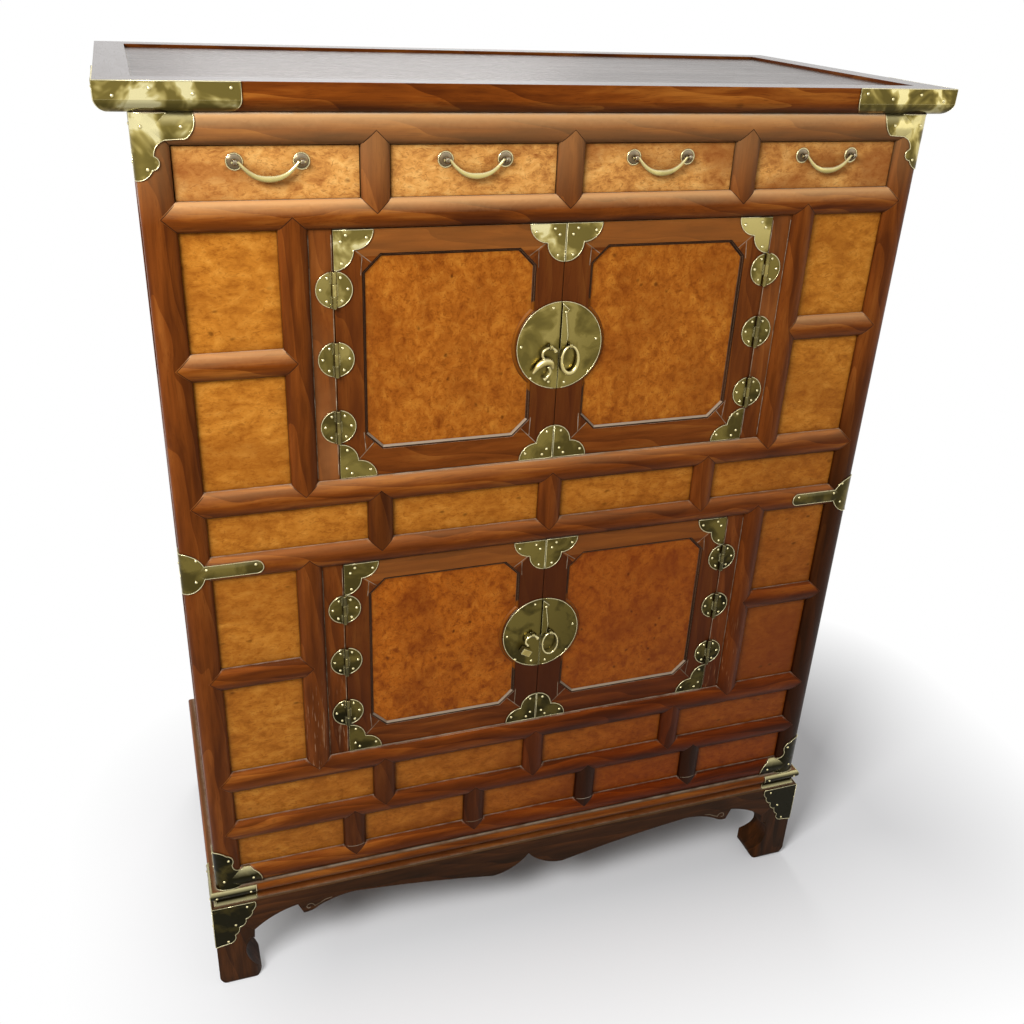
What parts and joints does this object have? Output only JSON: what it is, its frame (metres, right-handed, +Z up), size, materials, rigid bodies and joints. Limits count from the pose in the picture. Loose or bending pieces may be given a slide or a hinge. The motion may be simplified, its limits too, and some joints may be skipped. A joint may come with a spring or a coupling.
{
  "type": "korean two tier chest",
  "caption": "Two-tier chest with a row of small drawers, paired doors above and below, framed burl panels, brass fittings and a scrolled base on short legs.",
  "frame": {"origin": "on the floor, below the middle of the top board", "axes": "+X to the chest's right as seen from the front, -Y out of the front (doors and drawers), +Z up"},
  "size_m": [1.0034, 0.4712, 1.26],
  "materials": {
    "frame_wood": "satin oiled reddish-brown hardwood, dark in the crevices",
    "top_wood": "dark polished hardwood",
    "figured_wood": "golden burl veneer, satin",
    "drawer_burl": "pale golden burl veneer, satin",
    "door_burl": "reddish burl veneer, satin",
    "bead_wood": "nearly black stained hardwood",
    "side_wood": "plain stained board, satin",
    "inner_wood": "unfinished pine",
    "brass": "worn polished brass with olive tarnish",
    "steel": "nickelled, dull"
  },
  "bodies": {
    "carcass": {"post_front_left": "frame_wood", "post_front_right": "frame_wood", "posts_rear": "frame_wood", "top_frame": "top_wood", "top_panel": "top_wood", "rails_drawer_row": "frame_wood", "rail_upper_sill": "frame_wood", "rail_waist": "frame_wood", "rail_lower_sill": "frame_wood", "rails_base": "frame_wood", "inner_stiles": "frame_wood", "short_rails": "frame_wood", "row_dividers": "frame_wood", "bay_panels": "figured_wood", "row_panels": "figured_wood", "side_rails": "frame_wood", "side_panels": "side_wood", "back_frame": "inner_wood", "back_panels": "inner_wood", "floors": "inner_wood", "drawer_guides": "inner_wood", "door_stops": "inner_wood", "base_moulding": "frame_wood", "apron_front": "frame_wood", "aprons_side_rear": "frame_wood", "legs": "frame_wood", "corner_brass": "brass", "hinge_leaves": "brass"},
    "door_lower_left": {"door_lower_left_frame": "frame_wood", "door_lower_left_panel": "door_burl", "door_lower_left_bead": "bead_wood", "door_lower_left_brass": "brass"},
    "drop_pull_lower": {"drop_pull_lower": "brass"},
    "door_lower_right": {"door_lower_right_frame": "frame_wood", "door_lower_right_panel": "door_burl", "door_lower_right_bead": "bead_wood", "door_lower_right_brass": "brass"},
    "ring_pull_lower": {"ring_pull_lower": "brass"},
    "door_upper_left": {"door_upper_left_frame": "frame_wood", "door_upper_left_panel": "door_burl", "door_upper_left_bead": "bead_wood", "door_upper_left_brass": "brass"},
    "drop_pull_upper": {"drop_pull_upper": "brass"},
    "door_upper_right": {"door_upper_right_frame": "frame_wood", "door_upper_right_panel": "door_burl", "door_upper_right_bead": "bead_wood", "door_upper_right_brass": "brass"},
    "ring_pull_upper": {"ring_pull_upper": "brass"},
    "drawer_1": {"drawer_1": "drawer_burl", "drawer_1_rosettes": "steel"},
    "drawer_1_bail": {"drawer_1_bail": "brass"},
    "drawer_2": {"drawer_2": "drawer_burl", "drawer_2_rosettes": "steel"},
    "drawer_2_bail": {"drawer_2_bail": "brass"},
    "drawer_3": {"drawer_3": "drawer_burl", "drawer_3_rosettes": "steel"},
    "drawer_3_bail": {"drawer_3_bail": "brass"},
    "drawer_4": {"drawer_4": "drawer_burl", "drawer_4_rosettes": "steel"},
    "drawer_4_bail": {"drawer_4_bail": "brass"}
  },
  "joints": [
    {"name": "door_lower_left_hinge", "type": "hinge", "parent": "carcass", "child": "door_lower_left", "pos_m": [-0.2745, -0.226, 0.5395], "axis": [0, 0, -1], "range_deg": [0, 160]},
    {"name": "drop_pull_lower_swing", "type": "hinge", "parent": "door_lower_left", "child": "drop_pull_lower", "pos_m": [-0.013, -0.2297, 0.5405], "axis": [-1, 0, 0], "range_deg": [0, 80]},
    {"name": "door_lower_right_hinge", "type": "hinge", "parent": "carcass", "child": "door_lower_right", "pos_m": [0.2745, -0.226, 0.5395], "axis": [0, 0, 1], "range_deg": [0, 160]},
    {"name": "ring_pull_lower_swing", "type": "hinge", "parent": "door_lower_right", "child": "ring_pull_lower", "pos_m": [0.013, -0.2297, 0.5405], "axis": [-1, 0, 0], "range_deg": [0, 80]},
    {"name": "door_upper_left_hinge", "type": "hinge", "parent": "carcass", "child": "door_upper_left", "pos_m": [-0.2745, -0.226, 0.9595], "axis": [0, 0, -1], "range_deg": [0, 160]},
    {"name": "drop_pull_upper_swing", "type": "hinge", "parent": "door_upper_left", "child": "drop_pull_upper", "pos_m": [-0.013, -0.2297, 0.9605], "axis": [-1, 0, 0], "range_deg": [0, 80]},
    {"name": "door_upper_right_hinge", "type": "hinge", "parent": "carcass", "child": "door_upper_right", "pos_m": [0.2745, -0.226, 0.9595], "axis": [0, 0, 1], "range_deg": [0, 160]},
    {"name": "ring_pull_upper_swing", "type": "hinge", "parent": "door_upper_right", "child": "ring_pull_upper", "pos_m": [0.013, -0.2297, 0.9605], "axis": [-1, 0, 0], "range_deg": [0, 80]},
    {"name": "drawer_1_slide", "type": "slide", "parent": "carcass", "child": "drawer_1", "axis": [0, -1, 0], "range_m": [0, 0.3]},
    {"name": "drawer_1_bail_swing", "type": "hinge", "parent": "drawer_1", "child": "drawer_1_bail", "pos_m": [-0.33825, -0.2285, 1.1815], "axis": [-1, 0, 0], "range_deg": [0, 95]},
    {"name": "drawer_2_slide", "type": "slide", "parent": "carcass", "child": "drawer_2", "axis": [0, -1, 0], "range_m": [0, 0.3]},
    {"name": "drawer_2_bail_swing", "type": "hinge", "parent": "drawer_2", "child": "drawer_2_bail", "pos_m": [-0.11275, -0.2285, 1.1815], "axis": [-1, 0, 0], "range_deg": [0, 95]},
    {"name": "drawer_3_slide", "type": "slide", "parent": "carcass", "child": "drawer_3", "axis": [0, -1, 0], "range_m": [0, 0.3]},
    {"name": "drawer_3_bail_swing", "type": "hinge", "parent": "drawer_3", "child": "drawer_3_bail", "pos_m": [0.11275, -0.2285, 1.1815], "axis": [-1, 0, 0], "range_deg": [0, 95]},
    {"name": "drawer_4_slide", "type": "slide", "parent": "carcass", "child": "drawer_4", "axis": [0, -1, 0], "range_m": [0, 0.3]},
    {"name": "drawer_4_bail_swing", "type": "hinge", "parent": "drawer_4", "child": "drawer_4_bail", "pos_m": [0.33825, -0.2285, 1.1815], "axis": [-1, 0, 0], "range_deg": [0, 95]}
  ]
}
